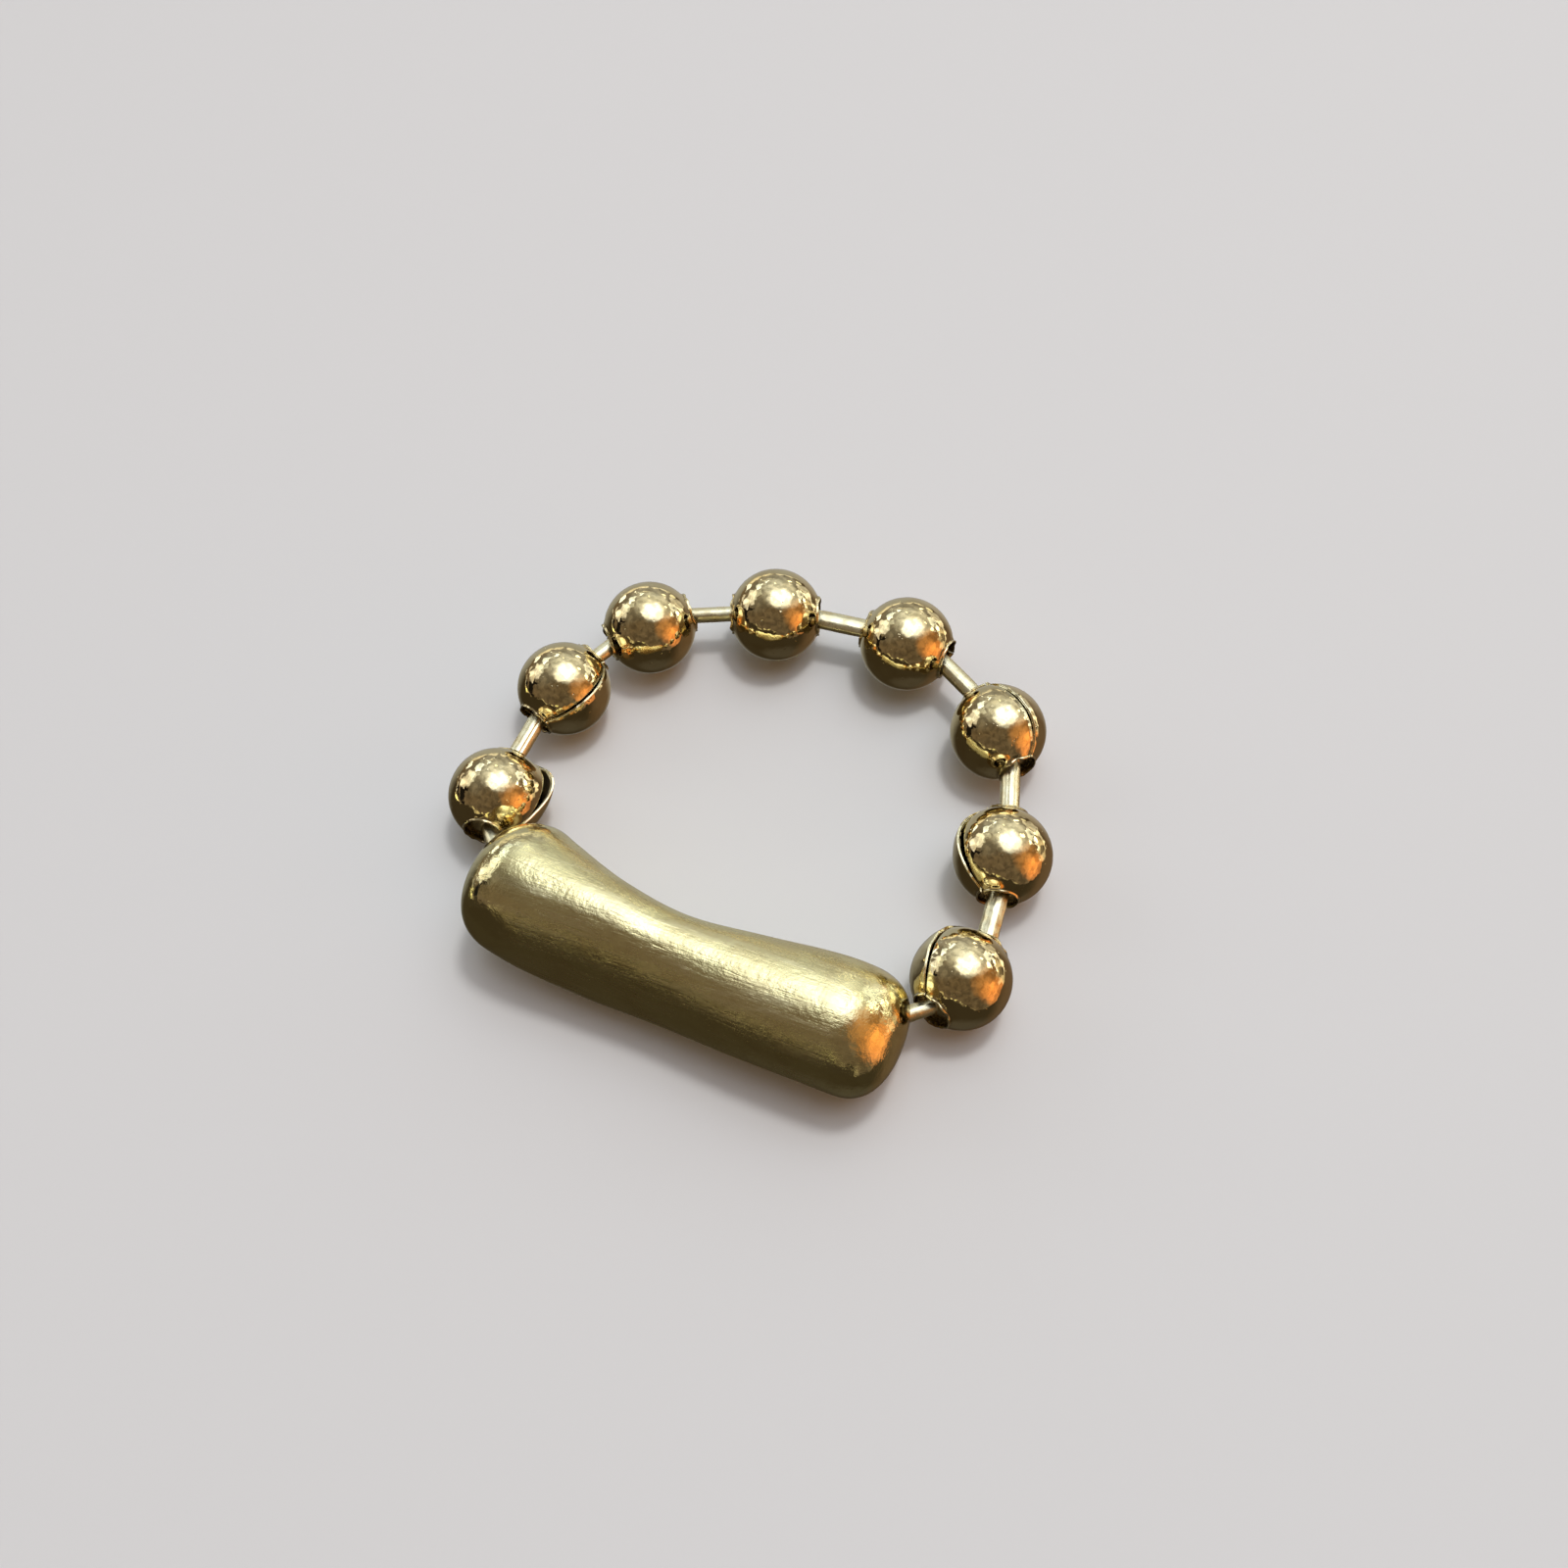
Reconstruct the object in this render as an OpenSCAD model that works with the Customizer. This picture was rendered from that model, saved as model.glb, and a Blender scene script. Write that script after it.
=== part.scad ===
// Finger ring made of a length of ball chain closed by a bean-shaped bar.
// It lies flat: +X along the bar, +Y from the bar towards the chain, +Z up.
// The origin is under the middle of the ring, on the surface it lies on.

/* [Balls] */
// Outer diameter of a ball
ball_d = 4.5; // [4.4:0.05:4.6]
// Thickness of a ball's sheet wall
ball_wall = 0.2; // [0.15:0.05:0.25]
// Diameter of the hole at each end of a ball
hole_d = 1.75; // [1.7:0.05:1.8]
// Thickness of the rolled lip round a hole
lip_d = 0.24; // [0.2:0.02:0.28]

/* [Pins] */
// Diameter of a pin's shaft
pin_d = 0.75; // [0.7:0.05:0.8]
// Diameter of the domed head that holds a pin inside a ball
head_d = 1.84; // [1.82:0.01:1.86]
// Thickness of a head behind its dome
head_back = 0.15; // [0.1:0.05:0.2]
// Length of a pin between the centres of its two heads
pin_len = 4.65; // [4.6:0.05:4.7]

/* [Bar] */
// Length of the bar
bar_len = 20.6; // [20.4:0.1:20.8]
// Greatest diameter of the left end
bar_left_d = 6.3; // [6.1:0.1:6.5]
// Diameter of the waist, as the mean of its height and its depth
bar_waist_d = 5.1; // [4.9:0.1:5.3]
// Greatest diameter of the right end
bar_right_d = 5.84; // [5.68:0.08:6]
// How much taller and shallower than round the pressed middle is
bar_press = 0.17; // [0.13:0.02:0.21]
// How far its section leans towards the finger, in degrees
bar_lean = 22; // [18:1:26]
// How far the middle bows away from the finger
bar_bow = 1.04; // [0.8:0.04:1.28]
// Length over which the left end rounds off
left_cap = 2.57; // [2.4:0.1:2.8]
// Length over which the right end rounds off
right_cap = 2.22; // [2:0.1:2.6]
// Diameter of the mouth where a pin enters the bar
mouth_d = 1.3; // [1.2:0.05:1.4]
// Diameter of the chamber round a pin's head inside the bar
chamber_d = 2.2; // [2.1:0.05:2.3]

/* [Hidden] */

ball_r = ball_d / 2;
hole_r = hole_d / 2;
head_r = head_d / 2;

// Where each ball lies, from the bar's left end round to its right end.
// X, Y: centre in plan. HEADING: direction of its axis in plan, in degrees.
// TIP: rise of the axis, in degrees. PLAY_IN, PLAY_OUT: how far the pin before
// and the pin after the ball sit off the axis, towards the outside of the ring.
X = 0;
Y = 1;
HEADING = 2;
TIP = 3;
PLAY_IN = 4;
PLAY_OUT = 5;
LAY = [[-11.6, -5.2, 106, -10, 0.3, 0.03],
       [-11.5, 1.15, 78, 0, 0.15, 0.1],
       [-9.3, 5.9, 48, 0, 0.15, 0.2],
       [-3.9, 9.05, 22, 0, 0.1, 0.05],
       [2.65, 10.1, -1, 0, 0.15, 0.2],
       [8.5, 7.4, -43, 0, 0.2, 0.2],
       [11.1, 1.6, -74, 0, 0.15, 0.15],
       [11.65, -4.55, -105, 10, 0.25, 0.3]];

// Depth of a head's centre from the ball's centre when its pin is pulled out
seat = 1.05;

function unit(v) = v / norm(v);
function axis_dir(ball) = [cos(ball[HEADING]) * cos(ball[TIP]),
                           sin(ball[HEADING]) * cos(ball[TIP]),
                           sin(ball[TIP])];
function outward(ball) = [-sin(ball[HEADING]), cos(ball[HEADING]), 0];
function ball_at(ball) = [ball[X], ball[Y], ball_r];
function seat_in(ball) = ball_at(ball) - seat * axis_dir(ball) + ball[PLAY_IN] * outward(ball);
function seat_out(ball) = ball_at(ball) + seat * axis_dir(ball) + ball[PLAY_OUT] * outward(ball);

// Centreline and girth of the bar, a row at each sixth of its length.
// BOW: share of bar_bow. SWELL: share of the way from the waist's radius to the end's.
// PRESS: share of bar_press.
BOW = 0;
SWELL = 1;
PRESS = 2;
SECTIONS = [[0, 1.16, 0],
            [0.65, 0.92, 0.35],
            [1, 0.38, 1],
            [0.98, 0, 0.95],
            [0.63, 0.5, 0.4],
            [0.21, 0.96, 0.1],
            [0, 1, 0]];
LAST = len(SECTIONS) - 1;
// Shape of the ends: 2 is an ellipse, more is blunter
left_blunt = 2.1;
right_blunt = 2.4;
// Place of the bar's left end, and of its two resting points along its length
bar_x = -9.95;
bar_y = -8.66;
left_rest = 0.13;
right_rest = 0.87;
// Points of the bar that its two end pins aim at
aim_left = [-8.5, -9.2, 3.1];
aim_right = [8.5, -8.9, 2.9];
rings = 48;
sides = 40;

// Smooth curve through four values spaced evenly, t from the second to the third
function through(a, b, c, d, t) =
    b + 0.5 * t * (c - a + t * (2 * a - 5 * b + 4 * c - d + t * (3 * (b - c) + d - a)));
function row(i) = SECTIONS[min(max(i, 0), LAST)];
function blend(s, column) =
    let (i = min(floor(s * LAST), LAST - 1))
    through(row(i - 1)[column], row(i)[column], row(i + 1)[column], row(i + 2)[column], s * LAST - i);
function rounding(d, cap, blunt) =
    d >= cap ? 1 : pow(1 - pow(1 - d / cap, blunt), 1 / blunt);
function end_d(s) = s < 0.5 ? bar_left_d : bar_right_d;
function girth(s) =
    (bar_waist_d + blend(s, SWELL) * (end_d(s) - bar_waist_d)) / 2
    * rounding(s * bar_len, left_cap, left_blunt)
    * rounding((1 - s) * bar_len, right_cap, right_blunt);
// The section is an ellipse: half its length upwards and half its width inwards before it leans
function tall(s) = girth(s) * (1 + bar_press * blend(s, PRESS));
function deep(s) = girth(s) * (1 - bar_press * blend(s, PRESS));
function half_height(s) = norm([tall(s) * cos(bar_lean), deep(s) * sin(bar_lean)]);
rest_rise = half_height(right_rest) - half_height(left_rest);
function taper(s) = half_height(left_rest) + rest_rise * (s - left_rest) / (right_rest - left_rest);
function station(i) = (1 - cos(180 * i / rings)) / 2;
// Lifts the centreline until the two ends just touch the surface below
bar_lift = max([for (i = [1 : rings - 1]) half_height(station(i)) - taper(station(i))]);
function centre(s) = [bar_x + s * bar_len, bar_y - bar_bow * blend(s, BOW), taper(s) + bar_lift];
// Heading of the centreline in plan, from points a little before and after
nudge = 0.01;
function slope(s) = let (d = centre(min(s + nudge, 1)) - centre(max(s - nudge, 0))) atan2(d[Y], d[X]);
function ring(s) =
    let (turn = slope(s), t = tall(s), w = deep(s))
    [for (k = [0 : sides - 1])
        let (a = 360 * k / sides,
             inward = w * cos(a) * cos(bar_lean) + t * sin(a) * sin(bar_lean),
             up = t * sin(a) * cos(bar_lean) - w * cos(a) * sin(bar_lean))
        centre(s) + [-sin(turn) * inward, cos(turn) * inward, up]];

module along(from, to) {
    d = to - from;
    translate(from)
        rotate([0, acos(d[2] / norm(d)), atan2(d[Y], d[X])])
            children();
}

module bar_body() {
    tube = [for (i = [1 : rings - 1]) each ring(station(i))];
    count = len(tube);
    points = concat(tube, [centre(0), centre(1)]);
    walls = [for (i = [0 : rings - 3], k = [0 : sides - 1])
        let (a = i * sides + k, b = i * sides + (k + 1) % sides)
        [a, b, b + sides, a + sides]];
    first = [for (k = [0 : sides - 1]) [count, (k + 1) % sides, k]];
    last = [for (k = [0 : sides - 1]) [count + 1, count - sides + k, count - sides + (k + 1) % sides]];
    polyhedron(points, concat(walls, first, last), convexity = 4);
}

// Far end of a pin whose near head is seated in a ball
function anchor(from, aim) = from + pin_len * unit(aim - from);
anchor_left = anchor(seat_in(LAY[0]), aim_left);
anchor_right = anchor(seat_out(LAY[7]), aim_right);

module socket(at, towards) {
    translate(at)
        sphere(d = chamber_d, $fn = 48);
    along(at, towards)
        cylinder(d = mouth_d, h = pin_len, $fn = 48);
}

module bar() {
    color("darkkhaki")
        difference() {
            bar_body();
            socket(anchor_left, seat_in(LAY[0]));
            socket(anchor_right, seat_out(LAY[7]));
        }
}

// Half section of a ball, its axis along Y, with a rolled lip at each hole
module ball_section() {
    lip_at = hole_r + lip_d / 4;
    lip_height = sqrt(pow(ball_r, 2) - pow(lip_at, 2)) + lip_d / 4;
    difference() {
        union() {
            circle(r = ball_r, $fn = 96);
            for (side = [-1, 1])
                translate([lip_at, side * lip_height])
                    circle(d = lip_d, $fn = 32);
        }
        circle(r = ball_r - ball_wall, $fn = 96);
        translate([-2 * ball_r, -2 * ball_r])
            square([2 * ball_r + hole_r, 4 * ball_r]);
    }
}

module ball(n) {
    place = LAY[n - 1];
    color("goldenrod")
        along(ball_at(place), ball_at(place) + axis_dir(place))
            rotate_extrude($fn = 96)
                ball_section();
}

// Head centred on the origin, with its dome towards +Z
module head() {
    difference() {
        sphere(r = head_r, $fn = 48);
        translate([0, 0, -head_back - head_d])
            cylinder(r = head_d, h = head_d, $fn = 48);
    }
}

module pin(from, to) {
    middle = (from + to) / 2;
    half = unit(to - from) * pin_len / 2;
    color("khaki")
        along(middle - half, middle + half) {
            cylinder(d = pin_d, h = pin_len, $fn = 48);
            head();
            translate([0, 0, pin_len])
                mirror([0, 0, 1])
                    head();
        }
}

// Pin n joins ball n - 1 to ball n, and the first and last ones hold the bar
module chain_pin(n) {
    if (n == 1)
        pin(anchor_left, seat_in(LAY[0]));
    else if (n == 9)
        pin(seat_out(LAY[7]), anchor_right);
    else
        pin(seat_out(LAY[n - 2]), seat_in(LAY[n - 1]));
}

bar();
for (n = [1 : 8])
    ball(n);
for (n = [1 : 9])
    chain_pin(n);
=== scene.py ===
"""Looks of a finger ring made of ball chain closed by a bean-shaped bar, lying on a pale floor.

Every length below is in millimetres, and to_metres() turns finished points into metres. Places come
from the frame: each ball and pin takes its centre and its axis from the solid that it replaces.
A texture's scale counts its lumps: in a metre on the metal, and in a unit of direction in the light.
"""
import math

import bpy
import numpy as np
from mathutils import Matrix, Vector, noise


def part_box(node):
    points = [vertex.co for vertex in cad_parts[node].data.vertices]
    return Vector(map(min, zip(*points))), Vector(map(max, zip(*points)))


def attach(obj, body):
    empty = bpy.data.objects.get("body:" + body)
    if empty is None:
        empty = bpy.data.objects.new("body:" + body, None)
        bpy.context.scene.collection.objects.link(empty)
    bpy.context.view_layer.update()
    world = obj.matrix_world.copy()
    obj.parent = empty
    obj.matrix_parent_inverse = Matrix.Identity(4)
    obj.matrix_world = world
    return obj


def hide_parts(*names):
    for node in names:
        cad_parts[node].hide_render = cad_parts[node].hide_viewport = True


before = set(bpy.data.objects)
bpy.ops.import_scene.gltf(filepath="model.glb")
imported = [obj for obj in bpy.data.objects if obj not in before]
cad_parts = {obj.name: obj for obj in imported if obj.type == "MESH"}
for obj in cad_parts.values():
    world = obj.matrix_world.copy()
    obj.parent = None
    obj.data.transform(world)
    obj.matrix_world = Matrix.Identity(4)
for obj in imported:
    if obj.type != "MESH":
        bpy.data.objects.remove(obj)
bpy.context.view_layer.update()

MM = 0.001
BODY = "root"

# Camera: where it looks, from which side, and how it is held
LOOK_AT = (-0.115, 1.785, 0.0)
CAMERA_AZIMUTH = 32.45
CAMERA_ELEVATION = 63.56
CAMERA_ROLL = 7.58
CAMERA_DISTANCE = 75.6
CAMERA_LENS = 36.0
SENSOR = 36.0
CLIP_NEAR = 1.0
CLIP_FAR = 10000.0

# Sheet-metal balls
BALL_R = 2.25
SHEET = 0.2
# Half section of a ball near a hole: distance from the axis, height along it.
# The outer line runs from the sphere over the pressed neck to the top of the lip.
LIP_OUTER = [(1.13, 1.946), (1.05, 1.992), (0.99, 2.034), (0.972, 2.075), (0.975, 2.11),
             (0.955, 2.138), (0.92, 2.145)]
LIP_INNER = [(1.13, 1.71), (0.99, 1.8), (0.9, 1.91), (0.878, 1.99), (0.876, 2.07),
             (0.89, 2.125), (0.92, 2.145)]
# A solid's points that lie farther out than its sphere by more than this belong to its lips
LIP_MARGIN = 0.05
# Points along the round part of the half section, and along each part once it is smooth
ARC_POINTS = 9
LINE_POINTS = 22
# One row per ball. SEAM: direction of the seam round the axis, in degrees, 0 outwards and 90 up.
# SLOPE: how far the seam turns for each millimetre along the axis. GAP: width of the slit.
# LIFT: how far one edge stands off. SPREAD: degrees over which it rises. SIDE: 1 if the edge
# before SEAM stands off, and -1 if the one after it does. OPEN: 1 if the seam gapes towards the
# next ball. CRUMPLE: how uneven the raised edge is. RISE: how far the other edge springs out.
# BRIGHT: width of the paler band along the edges, bare metal and a painted highlight.
SEAM, SLOPE, GAP, LIFT, SPREAD, SIDE, OPEN, CRUMPLE, RISE, BRIGHT = range(10)
BALLS = [
    (171, -3, 0.34, 0.62, 78, -1, 1, 0.03, 0.16, 0.2),
    (145, 1, 0.09, 0.1, 26, -1, 0, 0.025, 0.03, 0.32),
    (-38, 0, 0.03, 0.03, 20, 1, 0, 0.01, 0, 0.1),
    (-146, 0, 0.03, 0.03, 20, -1, 0, 0.01, 0, 0.1),
    (-35, 0, 0.03, 0.03, 20, 1, 0, 0.01, 0, 0.1),
    (62, -6, 0.08, 0.1, 26, 1, 0, 0.03, 0.02, 0.3),
    (147, -5, 0.1, 0.22, 34, -1, 0, 0.02, 0, 0.12),
    (136, -7, 0.12, 0.16, 30, -1, 0, 0.07, 0.03, 0.6),
]
# Every slit's least width, and the angle over which the edge that springs out rises
LEAST_GAP = 0.03
RISE_SPREAD = math.radians(32)
# How steeply the raised edge rises, on a closed seam and on an open one
CLOSED_STEEP = 1.7
OPEN_STEEP = 2.4
# A closed seam narrows towards both holes, by this share
NARROWING = 0.75
# An open seam lifts and parts most at a height of its own, and over a reach, along the axis.
# Its lift shrinks by a share before it meets the lip.
LIFT_AT = 1.2
LIFT_REACH = 1.2
LIFT_SHRINK = 0.8
LIFT_SHRINK_FROM = 1.4
LIFT_SHRINK_RUN = 0.6
PART_AT = 0.1
PART_REACH = 1.1
# Lumps of the raised edge in each millimetre along the axis
CRUMPLES = 1.9
# The sheet's cut edge: its rounding, the square of the share of the thickness left on its flat,
# and where its first sections lie, in roundings
EDGE_ROUND = 0.05
EDGE_FLAT = 0.06
NEAR_EDGE = [0, 0.03, 0.15, 0.35, 0.6, 1.0, 1.6, 2.6]
BALL_TURNS = 150
BALL_DENT = 0.012
DENT_SIZE = 1.6
# Waves of a lip: their depth, how closely they follow each other, the share of them that goes
# sideways, and the heights along the axis where they begin and over which they grow
LIP_WAVE = 0.09
LIP_WAVES = 2.6
LIP_SIDEWAYS = 0.4
LIP_FROM = 1.93
LIP_RUN = 0.16
# Dirt and painted shade gather at the foot of a lip, and its top is rubbed bare
FOOT_AT = 2.035
FOOT_REACH = 0.03
LIP_TOP_FROM = 2.07
LIP_TOP_RUN = 0.05
# Distance from a seam's edge over which its cut face ends. Inside an open ball dull metal shows
# from the edge to where the dirt and painted shade begin, and up to the height where the lip begins.
CUT_FACE = 0.05
SHOWN_UP_TO = 0.9
SHOWN_RUN = 0.6
SHOWN_BELOW = 1.8
# Shares of dirt and painted shade at a lip's foot and in the seam, and of painted shade under a lip.
# The last one begins and grows with the sine of the angle below the level of the ball's axis.
FOOT_DIRT_AND_SHADE = 0.45
SEAM_DIRT_AND_SHADE = 0.9
UNDER_SHADE = 0.75
UNDER_FROM = 0.1
UNDER_RUN = 0.5
# Shares of bare metal on a lip's top, and of bare metal with a painted highlight along a seam's edges
TOP_BARE = 0.8
EDGE_BARE_AND_HIGHLIGHT = 0.9

# Wire pins
PIN_R = 0.375
HEAD_R = 0.92
HEAD_BACK = 0.15
HEAD_ROUND = 0.04
DOME_POINTS = 14
# One row per pin. SIDES: flats round the wire. FLAT: how flat they are, 0 for a round wire.
# SWELL: extra radius at the middle. HAMMER: depth of the dents left by the tool. WIDE: how much
# wider than round it is pressed. CREASE: depth of the creases along it.
SIDES, FLAT, SWELL, HAMMER, WIDE, CREASE = range(6)
PINS = [
    (9, 0.3, 0.0, 0.006, 1.0, 0.0),
    (7, 0.4, 0.02, 0.006, 1.12, 0.03),
    (8, 0.3, 0.0, 0.006, 1.05, 0.015),
    (9, 0.4, 0.0, 0.006, 1.0, 0.0),
    (9, 0.45, 0.04, 0.008, 1.2, 0.0),
    (8, 0.5, 0.03, 0.005, 1.08, 0.015),
    (8, 0.4, 0.02, 0.008, 1.14, 0.02),
    (9, 0.6, 0.02, 0.025, 1.2, 0.012),
    (9, 0.4, 0.0, 0.01, 1.0, 0.0),
]
# Directions of the creases round a pin, 0 sideways and a quarter turn up, and their width
CREASES = [math.radians(a) for a in (58, 104, 200)]
CREASE_WIDTH = 0.09
HAMMER_SIZE = 0.32
# Distance from a dome to the shaft's first ring
FIRST_RING = 0.02
# Distance from a head's centre at which the worked shaft begins, and over which it grows
SHAFT_FROM = 0.7
SHAFT_RUN = 0.25
# Share of dirt and painted shade on the heads, and the start of the random dents
HEAD_DIRT_AND_SHADE = 0.55
PIN_SEED = 20
# Only points farther than this from a pin's axis are dented
DENTED_FROM = 0.2
PIN_TURNS = 72
PIN_RINGS = 110

# Bar: the same named sizes as its solid
BAR_LEFT_D = 6.3
BAR_WAIST_D = 5.1
BAR_RIGHT_D = 5.84
BAR_PRESS = 0.17
BAR_LEAN = math.radians(22)
BAR_BOW = 1.04
BAR_Y = -8.66
LEFT_CAP = 2.57
RIGHT_CAP = 2.22
LEFT_BLUNT = 2.1
RIGHT_BLUNT = 2.4
# On top the right end rounds off over a greater length, and more gently
TOP_CAP = 3.4
TOP_BLUNT = 2.1
LEFT_REST = 0.13
RIGHT_REST = 0.87
# The bar's heading at a place is taken from this share of its length before it and after it
NUDGE = 0.01
# A row at each sixth of the length. BOW: share of BAR_BOW. GROW: share of the way from the
# waist's radius to the end's. PRESS: share of BAR_PRESS, by which it is taller and shallower
# than round.
BOW, GROW, PRESS = range(3)
SECTIONS = [(0, 1.16, 0), (0.65, 0.92, 0.35), (1, 0.38, 1), (0.98, 0, 0.95), (0.63, 0.5, 0.4),
            (0.21, 0.96, 0.1), (0, 1, 0)]
BAR_RINGS = 240
BAR_SIDES = 144
# Waves of the cast skin: their depth, and the size and share of the wide and the narrow ones.
# They fade out closer to the bar's middle line than a distance, and have a random start.
BAR_WAVE = 0.018
WIDE_WAVE = 3.2
WIDE_SHARE = 0.7
NARROW_WAVE = 1.3
NARROW_SHARE = 0.3
WAVES_FADE = 0.3
BAR_SEED = 31
# Shares of the bar's length where the left end's polish begins to fade into the satin middle and
# where the right end's begins to appear, and over which each changes
LEFT_POLISH = 0.1
LEFT_POLISH_RUN = 0.1
RIGHT_POLISH = 0.86
RIGHT_POLISH_RUN = 0.07
# Sockets of the end pins, and the dirt and painted shade round their mouths: how far it reaches and its
# share
MOUTH_R = 0.65
MOUTH_DARK_REACH = 0.35
MOUTH_DIRT_AND_SHADE = 0.8
CHAMBER_R = 1.1
SOCKET_REACH = 4.65
SOCKET_SIDES = 64
CHAMBER_POINTS = 20

SPLINE_STEPS = 24


def to_metres(points):
    return np.asarray(points, float) * MM


def unit(v):
    return np.asarray(v, float) / np.linalg.norm(v)


def smooth(t):
    """0 below 0, 1 above 1 and an even slope between."""
    t = np.clip(t, 0.0, 1.0)
    return t * t * (3 - 2 * t)


def hump(t):
    """1 at 0, falling off to both sides."""
    return np.exp(-t ** 2)


def between(a, b, c, d, t):
    """Smooth curve through four values spaced evenly, t from the second to the third."""
    return b + 0.5 * t * (c - a + t * (2 * a - 5 * b + 4 * c - d + t * (3 * (b - c) + d - a)))


def spline(points, count):
    """A smooth line of count points, evenly spaced along its length, through the given points."""
    p = np.asarray(points, float)
    p = np.vstack([2 * p[0] - p[1], p, 2 * p[-1] - p[-2]])
    fine = []
    for i in range(1, len(p) - 2):
        for t in np.linspace(0, 1, SPLINE_STEPS, endpoint=False):
            fine.append(between(*p[i - 1:i + 3], t))
    fine.append(p[-2])
    fine = np.array(fine)
    run = np.concatenate([[0], np.cumsum(np.linalg.norm(np.diff(fine, axis=0), axis=1))])
    where = np.linspace(0, run[-1], count)
    return np.column_stack([np.interp(where, run, fine[:, k]) for k in range(fine.shape[1])])


def ripple(points, size, seed):
    """Smooth random values from -1 to 1 at the given points, with lumps about size wide."""
    shift = Vector((seed * 17.3, seed * 5.9, seed * 11.1))
    return np.array([noise.noise(Vector(p) / size + shift) for p in points])


def make_object(name, points, faces, material, masks=None):
    """A smooth-shaded mesh object from points in millimetres, with the masks its material reads."""
    mesh = bpy.data.meshes.new(name)
    mesh.from_pydata(to_metres(points).tolist(), [], faces)
    mesh.validate()
    mesh.polygons.foreach_set("use_smooth", [True] * len(mesh.polygons))
    for label, values in (masks or {}).items():
        layer = mesh.attributes.new(label, "FLOAT", "POINT")
        layer.data.foreach_set("value", np.asarray(values, np.float32))
    mesh.materials.append(material)
    obj = bpy.data.objects.new(name, mesh)
    bpy.context.scene.collection.objects.link(obj)
    return obj


def tube_faces(rings, around):
    """Quads of a tube of rings with so many points around each."""
    faces = []
    for i in range(rings - 1):
        for k in range(around):
            a = i * around + k
            b = i * around + (k + 1) % around
            faces.append((a, b, b + around, a + around))
    return faces


def closed_tube_faces(rings, around):
    """The same, with a fan over each end round one of the two points that come last."""
    faces = tube_faces(rings, around)
    count = rings * around
    for k in range(around):
        after = (k + 1) % around
        faces.append((count, after, k))
        faces.append((count + 1, count - around + k, count - around + after))
    return faces


def finish_piece(piece, solid):
    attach(piece, BODY)
    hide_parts(solid)


def solid_points(name):
    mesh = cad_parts[name].data
    flat = np.zeros(len(mesh.vertices) * 3, np.float32)
    mesh.vertices.foreach_get("co", flat)
    return flat.reshape(-1, 3).astype(float) / MM


# Camera


def make_camera():
    azimuth, elevation, roll = (math.radians(v) for v in (CAMERA_AZIMUTH, CAMERA_ELEVATION, CAMERA_ROLL))
    back = Vector((math.sin(azimuth) * math.cos(elevation),
                   -math.cos(azimuth) * math.cos(elevation),
                   math.sin(elevation)))
    level = Vector((math.cos(azimuth), math.sin(azimuth), 0))
    upright = back.cross(level)
    right = math.cos(roll) * level - math.sin(roll) * upright
    up = math.sin(roll) * level + math.cos(roll) * upright
    data = bpy.data.cameras.new("camera")
    data.lens = CAMERA_LENS
    data.sensor_width = SENSOR
    data.clip_start = CLIP_NEAR * MM
    data.clip_end = CLIP_FAR * MM
    camera = bpy.data.objects.new("camera", data)
    place = (Vector(LOOK_AT) + back * CAMERA_DISTANCE) * MM
    turn = Matrix((right, up, back)).transposed().to_4x4()
    camera.matrix_world = Matrix.Translation(place) @ turn
    bpy.context.scene.collection.objects.link(camera)
    bpy.context.scene.camera = camera


# Steps that shader trees are made of


def plug(tree, value, socket):
    """Links value into socket if it is an output, and otherwise sets it there."""
    if isinstance(value, bpy.types.NodeSocket):
        tree.links.new(value, socket)
    else:
        socket.default_value = value


def noise_node(tree, vector, scale, detail=3.0, roughness=0.5, distortion=0.0, output="Fac"):
    made = tree.nodes.new("ShaderNodeTexNoise")
    made.inputs["Scale"].default_value = scale
    made.inputs["Detail"].default_value = detail
    made.inputs["Roughness"].default_value = roughness
    made.inputs["Distortion"].default_value = distortion
    tree.links.new(vector, made.inputs["Vector"])
    return made.outputs[output]


def cells_node(tree, vector, scale):
    """Outputs of a texture of cells: Distance from the nearest centre, its Position and a Color."""
    made = tree.nodes.new("ShaderNodeTexVoronoi")
    made.inputs["Scale"].default_value = scale
    tree.links.new(vector, made.inputs["Vector"])
    return made.outputs


def stretched(tree, vector, scale, turn=(0, 0, 0)):
    """The vector squeezed along some axes, for marks that run along the others."""
    made = tree.nodes.new("ShaderNodeMapping")
    made.inputs["Scale"].default_value = scale
    made.inputs["Rotation"].default_value = turn
    tree.links.new(vector, made.inputs["Vector"])
    return made.outputs["Vector"]


def ranged(tree, value, span, result):
    """The value taken smoothly from one span, low to high, to another, and held beyond it."""
    made = tree.nodes.new("ShaderNodeMapRange")
    made.interpolation_type = "SMOOTHSTEP"
    tree.links.new(value, made.inputs["Value"])
    for name, number in zip(("From Min", "From Max", "To Min", "To Max"), (*span, *result)):
        made.inputs[name].default_value = number
    return made.outputs["Result"]


def mixed(tree, factor, a, b):
    """A colour between a and b."""
    made = tree.nodes.new("ShaderNodeMix")
    made.data_type = "RGBA"
    plug(tree, factor, made.inputs["Factor"])
    plug(tree, a, made.inputs[6])
    plug(tree, b, made.inputs[7])
    return made.outputs[2]


def mixed_value(tree, factor, a, b):
    """A number between a and b."""
    made = tree.nodes.new("ShaderNodeMix")
    plug(tree, factor, made.inputs[0])
    plug(tree, a, made.inputs[2])
    plug(tree, b, made.inputs[3])
    return made.outputs[0]


def combined(tree, operation, a, b):
    made = tree.nodes.new("ShaderNodeMath")
    made.operation = operation
    plug(tree, a, made.inputs[0])
    plug(tree, b, made.inputs[1])
    return made.outputs[0]


def product(tree, a, b):
    return combined(tree, "MULTIPLY", a, b)


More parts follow.
